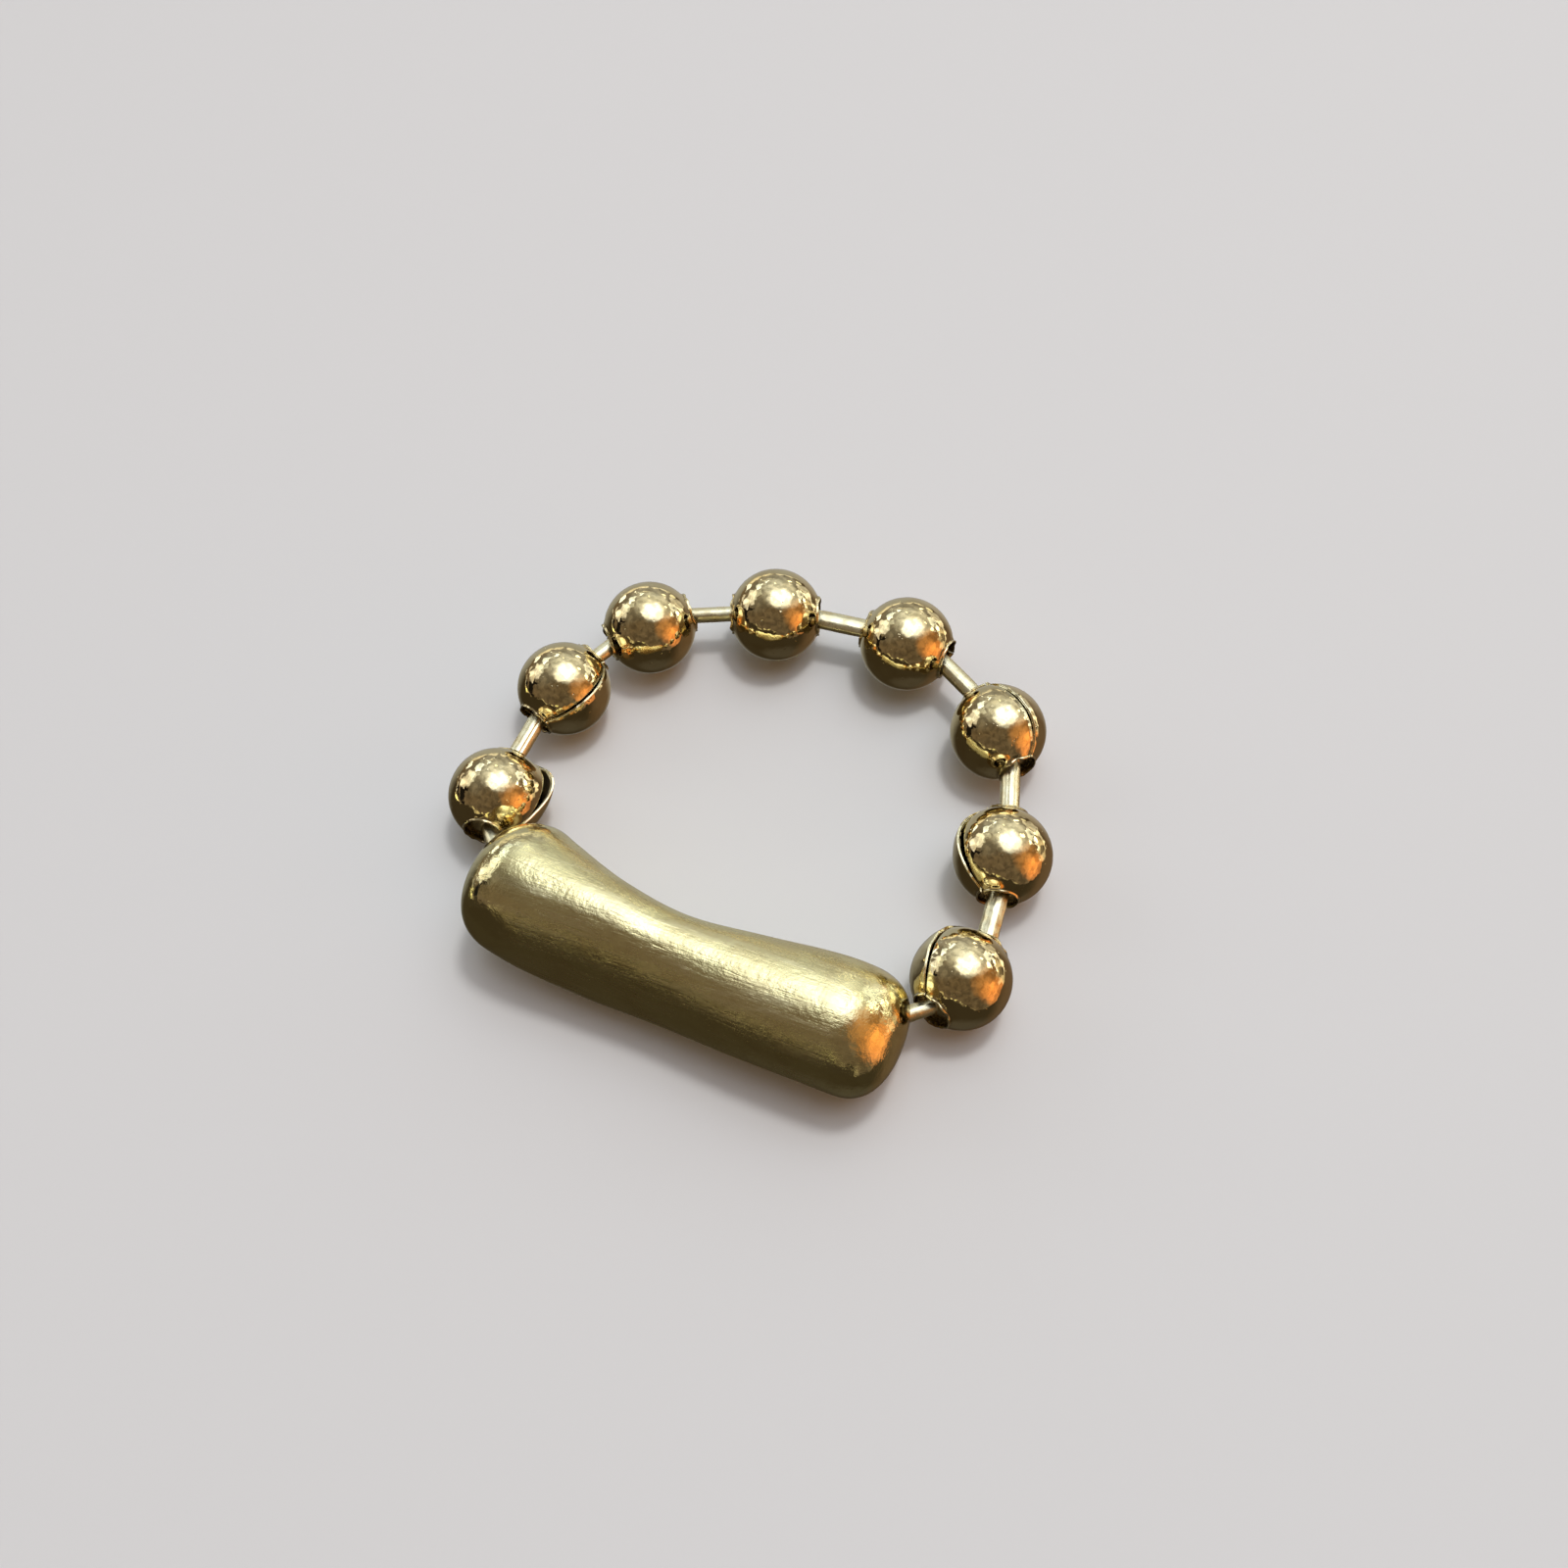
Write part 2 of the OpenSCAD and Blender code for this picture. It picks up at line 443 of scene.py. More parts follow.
def with_bumps(tree, layers):
    """A normal with one bump laid on another, each a height and its depth."""
    normal = None
    for height, depth in layers:
        made = tree.nodes.new("ShaderNodeBump")
        made.inputs["Strength"].default_value = 1.0
        made.inputs["Distance"].default_value = depth * MM
        tree.links.new(height, made.inputs["Height"])
        if normal is not None:
            tree.links.new(normal, made.inputs["Normal"])
        normal = made.outputs["Normal"]
    return normal


def with_added(tree, value, layers):
    """The value with each layer added to it, times its share."""
    for layer, share in layers:
        value = combined(tree, "ADD", value, product(tree, layer, share))
    return value


def masked(tree, label):
    made = tree.nodes.new("ShaderNodeAttribute")
    made.attribute_name = label
    return made.outputs["Fac"]


def metal(name):
    """A new metal material: its tree, its Principled shader and the place coordinates."""
    material = bpy.data.materials.new(name)
    material.use_nodes = True
    tree = material.node_tree
    shader = tree.nodes["Principled BSDF"]
    shader.inputs["Metallic"].default_value = 1.0
    where = tree.nodes.new("ShaderNodeTexCoord").outputs["Object"]
    return material, tree, shader, where


def finish_metal(tree, shader, colour, roughness, bumps):
    tree.links.new(colour, shader.inputs["Base Color"])
    tree.links.new(roughness, shader.inputs["Roughness"])
    tree.links.new(with_bumps(tree, bumps), shader.inputs["Normal"])


# Materials

GOLD = (0.87, 0.74, 0.44, 1)
PALE_GOLD = (0.96, 0.89, 0.60, 1)
DEEP_GOLD = (0.76, 0.61, 0.32, 1)
WIRE_GOLD = (0.98, 0.93, 0.66, 1)
BAR_GOLD = (0.96, 0.88, 0.49, 1)
BAR_DEEP = (0.82, 0.71, 0.38, 1)
# Dark brown laid on by the dirt masks: tarnish and painted shade
TARNISH_AND_SHADE = (0.15, 0.10, 0.04, 1)
# How much farther the bar's highlight spreads one way than the other
BAR_ANISOTROPY = 0.3


def ball_material():
    """Polished sheet: a slight haze, fine pits, tarnish with painted shade in the seam, at the lips and
    under them, and paler bare metal with a painted highlight along the seam's edges.
    """
    material, tree, shader, where = metal("balls")
    wear_and_highlight = masked(tree, "wear_and_highlight")
    cloud = noise_node(tree, where, scale=900, detail=4, roughness=0.6)
    grain = noise_node(tree, where, scale=4600, detail=4, roughness=0.6)
    dents = noise_node(tree, where, scale=1300, detail=2)
    facets = cells_node(tree, where, scale=2300)["Distance"]
    pits = ranged(tree, noise_node(tree, where, scale=3400, detail=2), (0.68, 0.76), (0, 1))
    # Darker in the seam, at the lips' feet and under the lips: tarnish and painted shade
    dirt_and_shade = product(tree, masked(tree, "dirt_and_shade"), ranged(tree, grain, (0.3, 0.6), (0.35, 1)))
    colour = mixed(tree, ranged(tree, cloud, (0.4, 0.65), (0, 0.7)), GOLD, DEEP_GOLD)
    # Paler bare metal on the lips' tops, and along the seam's edges bare metal with a painted highlight
    colour = mixed(tree, wear_and_highlight, colour, PALE_GOLD)
    colour = mixed(tree, dirt_and_shade, colour, TARNISH_AND_SHADE)
    haze = with_added(tree, ranged(tree, cloud, (0.35, 0.65), (0.02, 0.05)), [
        (dirt_and_shade, 0.3),
        (pits, 0.15),
        (masked(tree, "inside"), 0.4),
    ])
    finish_metal(tree, shader, colour, haze, [
        (dents, 0.022),
        (facets, 0.005),
        (product(tree, facets, wear_and_highlight), 0.05),
        (grain, 0.002),
        (product(tree, pits, -1.0), 0.01),
    ])
    return material


def bar_material():
    """Satin, brushed lengthwise in the middle and polished at the ends, with a few scratches."""
    material, tree, shader, where = metal("bar")
    polished = masked(tree, "polished")
    slightly = stretched(tree, where, (1, 1, 1), turn=(0, 0, -0.1))
    slanted = stretched(tree, where, (0.05, 1, 1), turn=(0.3, 0.2, 0.55))
    lines = noise_node(tree, stretched(tree, slightly, (0.04, 1, 1)), scale=8000, detail=4, roughness=0.65)
    bands = noise_node(tree, stretched(tree, slightly, (0.14, 1, 1)), scale=1700, detail=5,
                       roughness=0.62, distortion=0.5)
    cloud = noise_node(tree, where, scale=560, detail=5, roughness=0.62, distortion=0.4)
    mottle = noise_node(tree, where, scale=1500, detail=3, roughness=0.55)
    grain = noise_node(tree, where, scale=4200, detail=3, roughness=0.6)
    cuts = ranged(tree, noise_node(tree, slanted, scale=3600, detail=1), (0.70, 0.76), (0, 1))
    colour = mixed(tree, ranged(tree, cloud, (0.38, 0.62), (0, 0.75)), BAR_GOLD, BAR_DEEP)
    colour = mixed(tree, ranged(tree, bands, (0.45, 0.7), (0, 0.4)), colour, PALE_GOLD)
    # Darker round the sockets' mouths: dirt and painted shade
    colour = mixed(tree, masked(tree, "dirt_and_shade"), colour, TARNISH_AND_SHADE)
    satin = combined(tree, "ADD", ranged(tree, bands, (0.3, 0.7), (0.18, 0.28)),
                     ranged(tree, cloud, (0.3, 0.7), (0.0, 0.06)))
    shine = ranged(tree, cloud, (0.3, 0.7), (0.06, 0.14))
    shader.inputs["Anisotropic"].default_value = BAR_ANISOTROPY
    brushed = combined(tree, "SUBTRACT", 1.0, product(tree, polished, 0.8))
    finish_metal(tree, shader, colour, mixed_value(tree, polished, satin, shine), [
        (cloud, 0.05),
        (product(tree, mottle, polished), 0.03),
        (product(tree, bands, brushed), 0.028),
        (product(tree, lines, brushed), 0.015),
        (product(tree, grain, brushed), 0.02),
        (product(tree, cuts, -1.0), 0.006),
    ])
    return material


def pin_material():
    """Bright wire with small marks and a trace of tarnish and painted shade where it enters a ball."""
    material, tree, shader, where = metal("pins")
    cloud = noise_node(tree, where, scale=1600, detail=4, roughness=0.55)
    grain = noise_node(tree, where, scale=9000, detail=4, roughness=0.6)
    colour = mixed(tree, ranged(tree, cloud, (0.35, 0.65), (0, 0.8)), WIRE_GOLD, GOLD)
    # Darker heads, where the pins enter the balls: tarnish and painted shade
    colour = mixed(tree, masked(tree, "dirt_and_shade"), colour, TARNISH_AND_SHADE)
    rough = ranged(tree, grain, (0.3, 0.7), (0.26, 0.38))
    finish_metal(tree, shader, colour, rough, [(cloud, 0.022), (grain, 0.003)])
    return material


# Balls


def ball_lines():
    """Outer and inner lines of the sheet in half section, each from one lip's top to the other's."""
    lines = []
    for radius, lip in ((BALL_R, LIP_OUTER), (BALL_R - SHEET, LIP_INNER)):
        top = math.atan2(lip[0][1], lip[0][0])
        arc = [(radius * math.cos(a), radius * math.sin(a)) for a in np.linspace(0, top, ARC_POINTS)[:-1]]
        upper = np.vstack([spline(arc + lip[:1], LINE_POINTS), spline(lip, LINE_POINTS)[1:]])
        lower = upper[1:][::-1] * (1, -1)
        lines.append(np.vstack([lower, upper]))
    return lines


def ball_stations():
    """Angles from one edge of the sheet round to the other, closer together at the edges."""
    start = np.array(NEAR_EDGE) * EDGE_ROUND / BALL_R
    full = 2 * math.pi
    middle = np.linspace(start[-1], full - start[-1], BALL_TURNS)[1:-1]
    return np.concatenate([start, middle, full - start[::-1]])


def ball_axis(points):
    """Centre and axis of a ball's solid, from the points of its two lips, which lie farthest out."""
    centre = (points.min(0) + points.max(0)) / 2
    away = points - centre
    lips = away[np.linalg.norm(away, axis=1) > BALL_R + LIP_MARGIN]
    axis = np.linalg.eigh(lips.T @ lips)[1][:, -1]
    return centre, axis


def sheet_section(outer, inner, edge):
    """Closed outline of the sheet in half section, thinner near its edge, which it rounds off."""
    middle = (outer + inner) / 2
    into_round = 1 - min(edge / EDGE_ROUND, 1)
    keep = math.sqrt(max(1 - into_round ** 2, EDGE_FLAT))
    return np.vstack([middle + (outer - middle) * keep, (middle + (inner - middle) * keep)[::-1]])


def seam_shares(row, height):
    """Shares of a seam's lift and of its gap at each height along the axis."""
    if not row[OPEN]:
        narrower = 1 - NARROWING * (height / BALL_R) ** 2
        return narrower, narrower
    shrunk = 1 - LIFT_SHRINK * smooth((height - LIFT_SHRINK_FROM) / LIFT_SHRINK_RUN)
    return hump((height - LIFT_AT) / LIFT_REACH) * shrunk, hump((height - PART_AT) / PART_REACH)


def lip_share(height):
    return smooth((np.abs(height) - LIP_FROM) / LIP_RUN)


def bent_sheet(row, number, line, turn):
    """Distance from the axis, height along it and angle round it of a section's points, bent."""
    height = line[:, 1]
    full = 2 * math.pi
    far = turn if row[SIDE] < 0 else full - turn
    steep = OPEN_STEEP if row[OPEN] else CLOSED_STEEP
    near = max(1 - far / math.radians(row[SPREAD]), 0) ** steep
    other = max(1 - (full - far) / RISE_SPREAD, 0) ** 2
    lift, parting = seam_shares(row, height)
    uneven = np.array([noise.noise(Vector((h * CRUMPLES, number * 7.0, 0.5))) for h in height])
    radius = line[:, 0] + near * (row[LIFT] * lift + row[CRUMPLE] * uneven) + other * row[RISE] * lift
    slit = (LEAST_GAP + row[GAP] * parting) / 2 / line[:, 0]
    angle = math.radians(row[SEAM]) + math.radians(row[SLOPE]) * height + slit
    angle = angle + turn * (1 - slit / math.pi)
    end = np.sign(height)
    around = [Vector((math.cos(a) * LIP_WAVES, math.sin(a) * LIP_WAVES, number + 3 * s))
              for a, s in zip(angle, end)]
    wave = LIP_WAVE * np.array([noise.noise(place) for place in around])
    lip = lip_share(height)
    return radius + lip * wave * LIP_SIDEWAYS, height + end * lip * wave, angle


def sheet_masks(row, line, outside, edge, angle):
    """Dirt with painted shade, bare metal with a painted highlight, and the dull inside of the ball, from
    0 to 1, at a section's points.
    """
    height = np.abs(line[:, 1])
    cut = 1 - smooth(edge / CUT_FACE)
    hidden = smooth((edge - SHOWN_UP_TO) / SHOWN_RUN)
    foot = hump((height - FOOT_AT) / FOOT_REACH) * outside
    top = smooth((height - LIP_TOP_FROM) / LIP_TOP_RUN)
    # Painted shade on the downward side under a lip
    under = lip_share(height) * smooth((-np.sin(angle) - UNDER_FROM) / UNDER_RUN)
    deep = hidden if row[OPEN] else 1 - cut
    # Dirt and painted shade at a lip's foot and inside the seam
    dirt_and_shade = np.where(outside, FOOT_DIRT_AND_SHADE * foot * (1 - cut), SEAM_DIRT_AND_SHADE * deep)
    dirt_and_shade = np.maximum(dirt_and_shade, UNDER_SHADE * under)
    # The paler band along the edges is a painted highlight as well as bare metal
    bright = 1 - smooth(edge / row[BRIGHT])
    wear_and_highlight = np.where(outside, np.maximum(TOP_BARE * top, EDGE_BARE_AND_HIGHLIGHT * bright), EDGE_BARE_AND_HIGHLIGHT * cut)
    dull = np.where(outside | (height > SHOWN_BELOW), 0.0, row[OPEN] * (1 - hidden))
    return {"dirt_and_shade": dirt_and_shade, "wear_and_highlight": wear_and_highlight, "inside": dull}


def sheet_faces(sections, count):
    """Faces of the bent sheet, with strips that close its two cut edges."""
    faces = tube_faces(sections, count)
    last = (sections - 1) * count
    for k in range(count // 2 - 1):
        faces.append((k + 1, k, count - 1 - k, count - 2 - k))
        faces.append((last + k, last + k + 1, last + count - 2 - k, last + count - 1 - k))
    return faces


def make_ball(number, row, centre, axis, material):
    across = unit((-axis[1], axis[0], 0))
    over = np.cross(axis, across)
    outer, inner = ball_lines()
    outside = np.arange(len(outer) + len(inner)) < len(outer)
    points, masks = [], []
    for turn in ball_stations():
        edge = min(turn, 2 * math.pi - turn) * BALL_R
        line = sheet_section(outer, inner, edge)
        radius, height, angle = bent_sheet(row, number, line, turn)
        points.append(centre + np.outer(radius * np.cos(angle), across)
                      + np.outer(radius * np.sin(angle), over) + np.outer(height, axis))
        masks.append(sheet_masks(row, line, outside, edge, angle))
    faces = sheet_faces(len(points), len(outside))
    points = np.vstack(points)
    away = points - centre
    dents = BALL_DENT * ripple(points, DENT_SIZE, number)
    points = centre + away * (1 + dents / BALL_R)[:, None]
    masks = {label: np.concatenate([mask[label] for mask in masks]) for label in masks[0]}
    return make_object(f"ball_{number}_sheet", points, faces, material, masks)


def make_balls():
    material = ball_material()
    found = [ball_axis(solid_points(f"ball_{n}")) for n in range(1, len(BALLS) + 1)]
    centres = [centre for centre, axis in found]
    for k, row in enumerate(BALLS):
        ahead = centres[min(k + 1, len(BALLS) - 1)] - centres[max(k - 1, 0)]
        centre, axis = found[k]
        if axis @ ahead < 0:
            axis = -axis
        ball = make_ball(k + 1, row, centre, axis, material)
        finish_piece(ball, f"ball_{k + 1}")


# Pins


def pin_ends(name):
    """Centres of a pin's two heads, from its solid."""
    points = solid_points(name)
    centre = (points.min(0) + points.max(0)) / 2
    away = points - centre
    axis = np.linalg.eigh(away.T @ away)[1][:, -1]
    reach = np.abs(away @ axis).max() - HEAD_BACK
    return centre - axis * reach, centre + axis * reach


def pin_line(length):
    """Half section of a pin: distance from the axis and height, from one flat back to the other."""
    back = math.sqrt(HEAD_R ** 2 - HEAD_BACK ** 2)
    top = math.pi / 2 - math.asin(PIN_R / HEAD_R)
    dome = [(HEAD_R * math.cos(a), HEAD_R * math.sin(a)) for a in np.linspace(0, top, DOME_POINTS)[1:]]
    head = [(0.0, -HEAD_BACK), (back * 0.5, -HEAD_BACK), (back - HEAD_ROUND, -HEAD_BACK),
            (back, -HEAD_BACK + HEAD_ROUND), (HEAD_R, 0.0)] + dome
    start = head[-1][1] + FIRST_RING
    shaft = [(PIN_R, h) for h in np.linspace(start, length - start, PIN_RINGS - 2 * len(head))]
    tail = [(r, length - h) for r, h in reversed(head)]
    return np.array(head + shaft + tail)


def flattened(sides, angle):
    """Radius of a shape with so many flat sides, against a circle of its middle radius."""
    flat = 2 * math.pi / sides
    inner = math.cos(flat / 2)
    return 2 * inner / np.cos(np.mod(angle, flat) - flat / 2) / (1 + inner)


def make_pin(number, row, ends, material):
    start, stop = ends
    axis = unit(stop - start)
    length = np.linalg.norm(stop - start)
    across = unit(np.cross(axis, (0, 0, 1)))
    over = np.cross(across, axis)
    line = pin_line(length)
    angle = np.linspace(0, 2 * math.pi, PIN_TURNS, endpoint=False)
    corner = flattened(row[SIDES], angle + number)
    points, dirt_and_shade = [], []
    for radius, height in line:
        on_shaft = smooth((min(height, length - height) - SHAFT_FROM) / SHAFT_RUN)
        shape = 1 + on_shaft * row[FLAT] * (corner - 1)
        middle = math.sin(math.pi * height / length) if 0 < height < length else 0
        ring = radius * shape + on_shaft * row[SWELL] * middle
        wide = 1 + on_shaft * (row[WIDE] - 1)
        place = start + np.outer(ring * wide * np.cos(angle), across)
        place = place + np.outer(ring / wide * np.sin(angle), over)
        place = place + axis * height
        points.append(place)
        # Dirt and painted shade on the heads
        dirt_and_shade.append(np.full(PIN_TURNS, HEAD_DIRT_AND_SHADE * (1 - on_shaft)))
    points = np.vstack(points)
    around = np.tile(angle, len(line))
    crease = sum(hump((around - at) / CREASE_WIDTH) for at in CREASES)
    lump = ripple(points, HAMMER_SIZE, number + PIN_SEED) * row[HAMMER] - crease * row[CREASE]
    centre_line = start + np.outer((points - start) @ axis, axis)
    away = points - centre_line
    size = np.linalg.norm(away, axis=1)
    lump = lump * (size > DENTED_FROM) / np.maximum(size, DENTED_FROM)
    points = points + away * lump[:, None]
    faces = tube_faces(len(line), PIN_TURNS)
    return make_object(f"pin_{number}_wire", points, faces, material, {"dirt_and_shade": np.concatenate(dirt_and_shade)})


def make_pins():
    material = pin_material()
    for k, row in enumerate(PINS):
        pin = make_pin(k + 1, row, pin_ends(f"pin_{k + 1}"), material)
        finish_piece(pin, f"pin_{k + 1}")


# Bar


def section(share, column):
    """A column of SECTIONS at a share of the bar's length, on a smooth curve through its rows."""
    last = len(SECTIONS) - 1
    i = min(int(share * last), last - 1)
    rows = [SECTIONS[min(max(i + k, 0), last)] for k in (-1, 0, 1, 2)]
    return between(*(row[column] for row in rows), share * last - i)


def rounding(distance, cap, blunt):
    return 1.0 if distance >= cap else (1 - (1 - distance / cap) ** blunt) ** (1 / blunt)


def bar_girth(share, length):
    end = BAR_LEFT_D if share < 0.5 else BAR_RIGHT_D
    girth = (BAR_WAIST_D + section(share, GROW) * (end - BAR_WAIST_D)) / 2
    left = rounding(share * length, LEFT_CAP, LEFT_BLUNT)
    return girth * left * rounding((1 - share) * length, RIGHT_CAP, RIGHT_BLUNT)


def bar_height(share, length):
    """Half the height of the leaning section."""
    press = BAR_PRESS * section(share, PRESS)
    half = math.hypot((1 + press) * math.cos(BAR_LEAN), (1 - press) * math.sin(BAR_LEAN))
    return bar_girth(share, length) * half


def bar_taper(share, length):
    left, right = bar_height(LEFT_REST, length), bar_height(RIGHT_REST, length)
    return left + (right - left) * (share - LEFT_REST) / (RIGHT_REST - LEFT_REST)


def bar_centre(share, length, start, lift):
    return np.array((start + share * length,
                     BAR_Y - BAR_BOW * section(share, BOW),
                     bar_taper(share, length) + lift))


def bar_ring(share, length, side, angle):
    """Points of one ring of the bar's skin, from its centre."""
    up = np.array((0, 0, 1))
    press = BAR_PRESS * section(share, PRESS)
    long_way = math.sin(BAR_LEAN) * side + math.cos(BAR_LEAN) * up
    short_way = math.cos(BAR_LEAN) * side - math.sin(BAR_LEAN) * up
    rise = np.clip(np.sin(angle) * math.cos(BAR_LEAN) - np.cos(angle) * math.sin(BAR_LEAN), 0, 1)
    left = (1 - share) * length
    fall = 1 - min(rounding(left, TOP_CAP, TOP_BLUNT) / rounding(left, RIGHT_CAP, RIGHT_BLUNT), 1)
    ring = (1 - press) * np.outer(np.cos(angle), short_way)
    ring = ring + (1 + press) * np.outer(np.sin(angle), long_way)
    return bar_girth(share, length) * ring * (1 - fall * rise)[:, None]


def bar_shape(low, high):
    """Points of the bar's skin, ring by ring, with the two end points last."""
    length = high[0] - low[0]
    shares = [(1 - math.cos(math.pi * i / BAR_RINGS)) / 2 for i in range(1, BAR_RINGS)]
    lift = max(bar_height(s, length) - bar_taper(s, length) for s in shares)
    angle = np.linspace(0, 2 * math.pi, BAR_SIDES, endpoint=False)
    points = []
    for s in shares:
        before, here, after = (bar_centre(at, length, low[0], lift)
                               for at in (max(s - NUDGE, 0), s, min(s + NUDGE, 1)))
        ahead = after - before
        side = unit((-ahead[1], ahead[0], 0))
        points.append(here + bar_ring(s, length, side, angle))
    ends = [bar_centre(s, length, low[0], lift)[None] for s in (0, 1)]
    return np.vstack(points + ends)


def cast_waves(points):
    """The points drawn a little inwards, unevenly, as on a cast skin."""
    pull = ripple(points, WIDE_WAVE, BAR_SEED) * WIDE_SHARE
    pull = pull + ripple(points, NARROW_WAVE, BAR_SEED + 1) * NARROW_SHARE
    spread = points - points.mean(0)
    inward = np.column_stack([np.zeros(len(points)), spread[:, 1], spread[:, 2]])
    size = np.maximum(np.linalg.norm(inward, axis=1), WAVES_FADE)
    return points - inward / size[:, None] * (BAR_WAVE * (0.5 + 0.5 * pull))[:, None]


def socket_axis(number):
    """Place of an end pin's head inside the bar, and the direction from there to the chain."""
    inner_end, outer_end = sorted(pin_ends(f"pin_{number}"), key=lambda p: abs(p[0]))
    return inner_end, unit(outer_end - inner_end)


def make_bar():
    low, high = (np.array(c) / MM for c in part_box("bar"))
    points = cast_waves(bar_shape(low, high))
    share = (points[:, 0] - low[0]) / (high[0] - low[0])
    polished = np.maximum(1 - smooth((share - LEFT_POLISH) / LEFT_POLISH_RUN),
                          smooth((share - RIGHT_POLISH) / RIGHT_POLISH_RUN))
    # Dirt and painted shade round the mouths of the end pins' sockets
    dirt_and_shade = np.zeros(len(points))
    end_pins = (1, len(PINS))
    for n in end_pins:
        head, axis = socket_axis(n)
        away = points - head
        off = np.linalg.norm(away - np.outer(away @ axis, axis), axis=1)
        mouth_darkening = (away @ axis > 0) * (1 - smooth((off - MOUTH_R) / MOUTH_DARK_REACH))
        dirt_and_shade = np.maximum(dirt_and_shade, mouth_darkening * MOUTH_DIRT_AND_SHADE)
    faces = closed_tube_faces(BAR_RINGS - 1, BAR_SIDES)
    bar = make_object("bar_body", points, faces, bar_material(), {"polished": polished, "dirt_and_shade": dirt_and_shade})
    for n in end_pins:
        cut_socket(bar, n)
    finish_piece(bar, "bar")


def cut_socket(bar, number):
    """Drills the chamber and the mouth that hold the end pin of that number."""
    head, axis = socket_axis(number)
    across = unit(np.cross(axis, (0, 0, 1)))
    over = np.cross(across, axis)
    neck = math.sqrt(CHAMBER_R ** 2 - MOUTH_R ** 2)
    chamber = np.linspace(-math.pi / 2, math.atan2(neck, MOUTH_R), CHAMBER_POINTS)[1:]
    line = [(CHAMBER_R * math.cos(a), CHAMBER_R * math.sin(a)) for a in chamber]
    line = line + [(MOUTH_R, SOCKET_REACH)]
    angle = np.linspace(0, 2 * math.pi, SOCKET_SIDES, endpoint=False)
    points = [head + np.outer(r * np.cos(angle), across) + np.outer(r * np.sin(angle), over) + axis * h
              for r, h in line]
    ends = [(head - axis * CHAMBER_R)[None], (head + axis * SOCKET_REACH)[None]]
    faces = closed_tube_faces(len(line), SOCKET_SIDES)
    cutter = make_object("cutter", np.vstack(points + ends), faces, bar.data.materials[0])
    change = bar.modifiers.new("socket", "BOOLEAN")
    change.operation = "DIFFERENCE"
    change.solver = "EXACT"
    change.object = cutter
    bpy.context.view_layer.objects.active = bar
    bpy.ops.object.modifier_apply(modifier=change.name)
    bpy.data.objects.remove(cutter)


# Floor and light

FLOOR_HALF = 1500.0
FLOOR_COLOUR = (0.72, 0.73, 0.75, 1)
FLOOR_ROUGHNESS = 0.9
FLOOR_SPECULAR = 0.1
BACKDROP = (0.60, 0.60, 0.60, 1)
# What the metal mirrors: a dim room above the horizon and dark ground below it. The floor itself
# isn't mirrored, which keeps the metal's contrast.
WALL = (0.135, 0.102, 0.068)
GROUND = (0.044, 0.034, 0.02)
DARKEST = (0.012, 0.01, 0.008)
# The horizon's height as the sine of its elevation, how soft it is, and where it lies lower or
# higher: direction as azimuth and elevation, the angles at which the change is full and gone, and
# its size as DROP
HORIZON = -0.12
HORIZON_SOFT = 0.012
DROP = 4
DIPS = [(25, -20, 20, 70, -0.2), (-98, 10, 10, 60, 0.4)]
# Patches of light: direction as azimuth and elevation, the angles at which each is full and gone,
# its colour, and the layer that it belongs to. Soft ones have plain edges, solid ones waver, sharp
# ones have angular edges, and ground ones lie below the horizon.
AZIMUTH, ELEVATION, FULL, GONE, COLOUR, LAYER = range(6)
PATCHES = [
    (68, 72, 10, 31, (1.7, 1.8, 2.0), "soft"),
    (86, 60, 20, 50, (0.34, 0.37, 0.38), "soft"),
    (60, 48, 10, 34, (0.22, 0.22, 0.2), "soft"),
    (112, 28, 10, 46, (0.24, 0.27, 0.29), "soft"),
    (160, 50, 10, 54, (0.1, 0.11, 0.11), "soft"),
    (151, 20, 7, 10, (1.0, 1.2, 1.4), "sharp"),
    (-178, 25, 15, 18, (0.68, 0.68, 0.68), "solid"),
    (-172, 8, 10, 13, (0.68, 0.66, 0.62), "sharp"),
    (170, 30, 4, 14, (0.39, 0.43, 0.43), "sharp"),
    (46, 17, 8, 11, (0.9, 1.0, 1.05), "sharp"),
    (74, 2, 10, 18, (0.6, 0.6, 0.56), "sharp"),
    (60, -14, 8, 14, (0.8, 0.74, 0.62), "sharp"),
    (92, -6, 7, 13, (0.9, 0.86, 0.7), "sharp"),
    (138, 0, 6, 12, (0.8, 0.76, 0.6), "sharp"),
    (40, 2, 5, 16, (0.6, 0.5, 0.33), "sharp"),
    (-156, 14, 6, 8, (-0.9, -0.9, -0.9), "sharp"),
    (-4, 12, 6, 28, (0.36, 0.12, 0.025), "soft"),
    (6, 30, 10, 40, (0.3, 0.11, 0.01), "soft"),
    (5, -3, 12, 27, (0.68, 0.23, 0.055), "soft"),
    (124, -24, 12, 62, (0.34, 0.35, 0.34), "ground"),
    (50, -35, 10, 60, (0.1, 0.062, 0.04), "ground"),
    (-60, -58, 6, 30, (0.03, 0.03, 0.03), "ground"),
]
# A thin bright line along the horizon, on the side from which the ring is seen, and the heights
# over the horizon between which it begins and ends
LINE = (-110, 5, 50, 75, (0.8, 0.72, 0.4))
LINE_BEGINS = (0.0, 0.012)
LINE_ENDS = (0.035, 0.05)
# Small bright things scattered behind the ring and over the horizon in front of it: each is a dot
# in a cell, and only some cells have one. The ones in front end a little over the horizon.
SCATTER = [(80, 8, 30, 56, (3.2, 3.2, 2.4), "behind"), (-115, 10, 40, 70, (2.0, 1.9, 0.8), "front")]
CELLS = 4.4
DOT_EDGE = (0.27, 0.32)
DOT_CHOSEN = (0.35, 0.5)
FRONT_ENDS = (0.03, 0.12)
